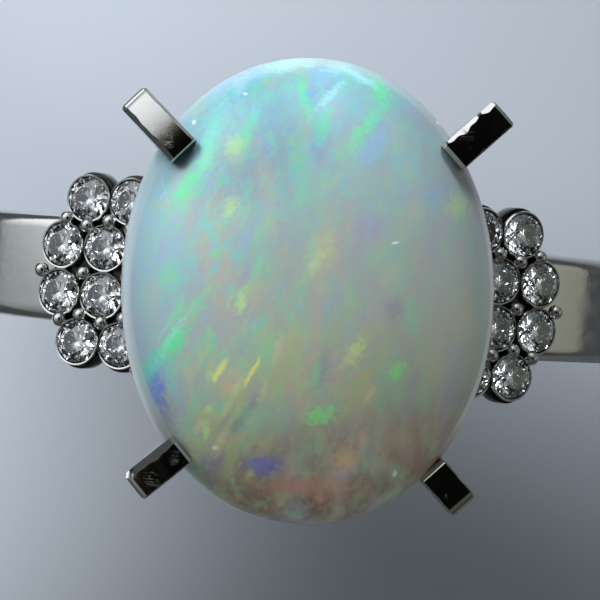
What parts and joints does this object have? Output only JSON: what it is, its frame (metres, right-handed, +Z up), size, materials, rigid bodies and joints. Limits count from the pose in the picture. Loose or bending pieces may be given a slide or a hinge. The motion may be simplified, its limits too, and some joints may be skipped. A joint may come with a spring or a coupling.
{
  "type": "opal cabochon ring",
  "caption": "Finger ring with an oval opal cabochon held by flat claws, on a plain band with stone-set shoulders.",
  "frame": {"origin": "centre of the finger hole", "axes": "+Z up through the opal, +Y along the finger, +X across the band; the ring stands upright"},
  "size_m": [0.0196, 0.01, 0.0255],
  "materials": {
    "polished_opal": "polished",
    "polished_platinum": "polished",
    "clear_melee": "polished"
  },
  "bodies": {
    "root": {"opal": "polished_opal", "claw_upper_left": "polished_platinum", "claw_upper_right": "polished_platinum", "claw_lower_left": "polished_platinum", "claw_lower_right": "polished_platinum", "gallery_rail": "polished_platinum", "collar": "polished_platinum", "shank": "polished_platinum", "shoulder_left": "polished_platinum", "shoulder_right": "polished_platinum", "melee_left_01": "clear_melee", "melee_left_02": "clear_melee", "melee_left_03": "clear_melee", "melee_left_04": "clear_melee", "melee_left_05": "clear_melee", "melee_left_06": "clear_melee", "melee_left_07": "clear_melee", "melee_left_08": "clear_melee", "melee_left_09": "clear_melee", "melee_left_10": "clear_melee", "melee_right_01": "clear_melee", "melee_right_02": "clear_melee", "melee_right_03": "clear_melee", "melee_right_04": "clear_melee", "melee_right_05": "clear_melee", "melee_right_06": "clear_melee", "melee_right_07": "clear_melee", "melee_right_08": "clear_melee", "melee_right_09": "clear_melee", "melee_right_10": "clear_melee"}
  },
  "joints": []
}
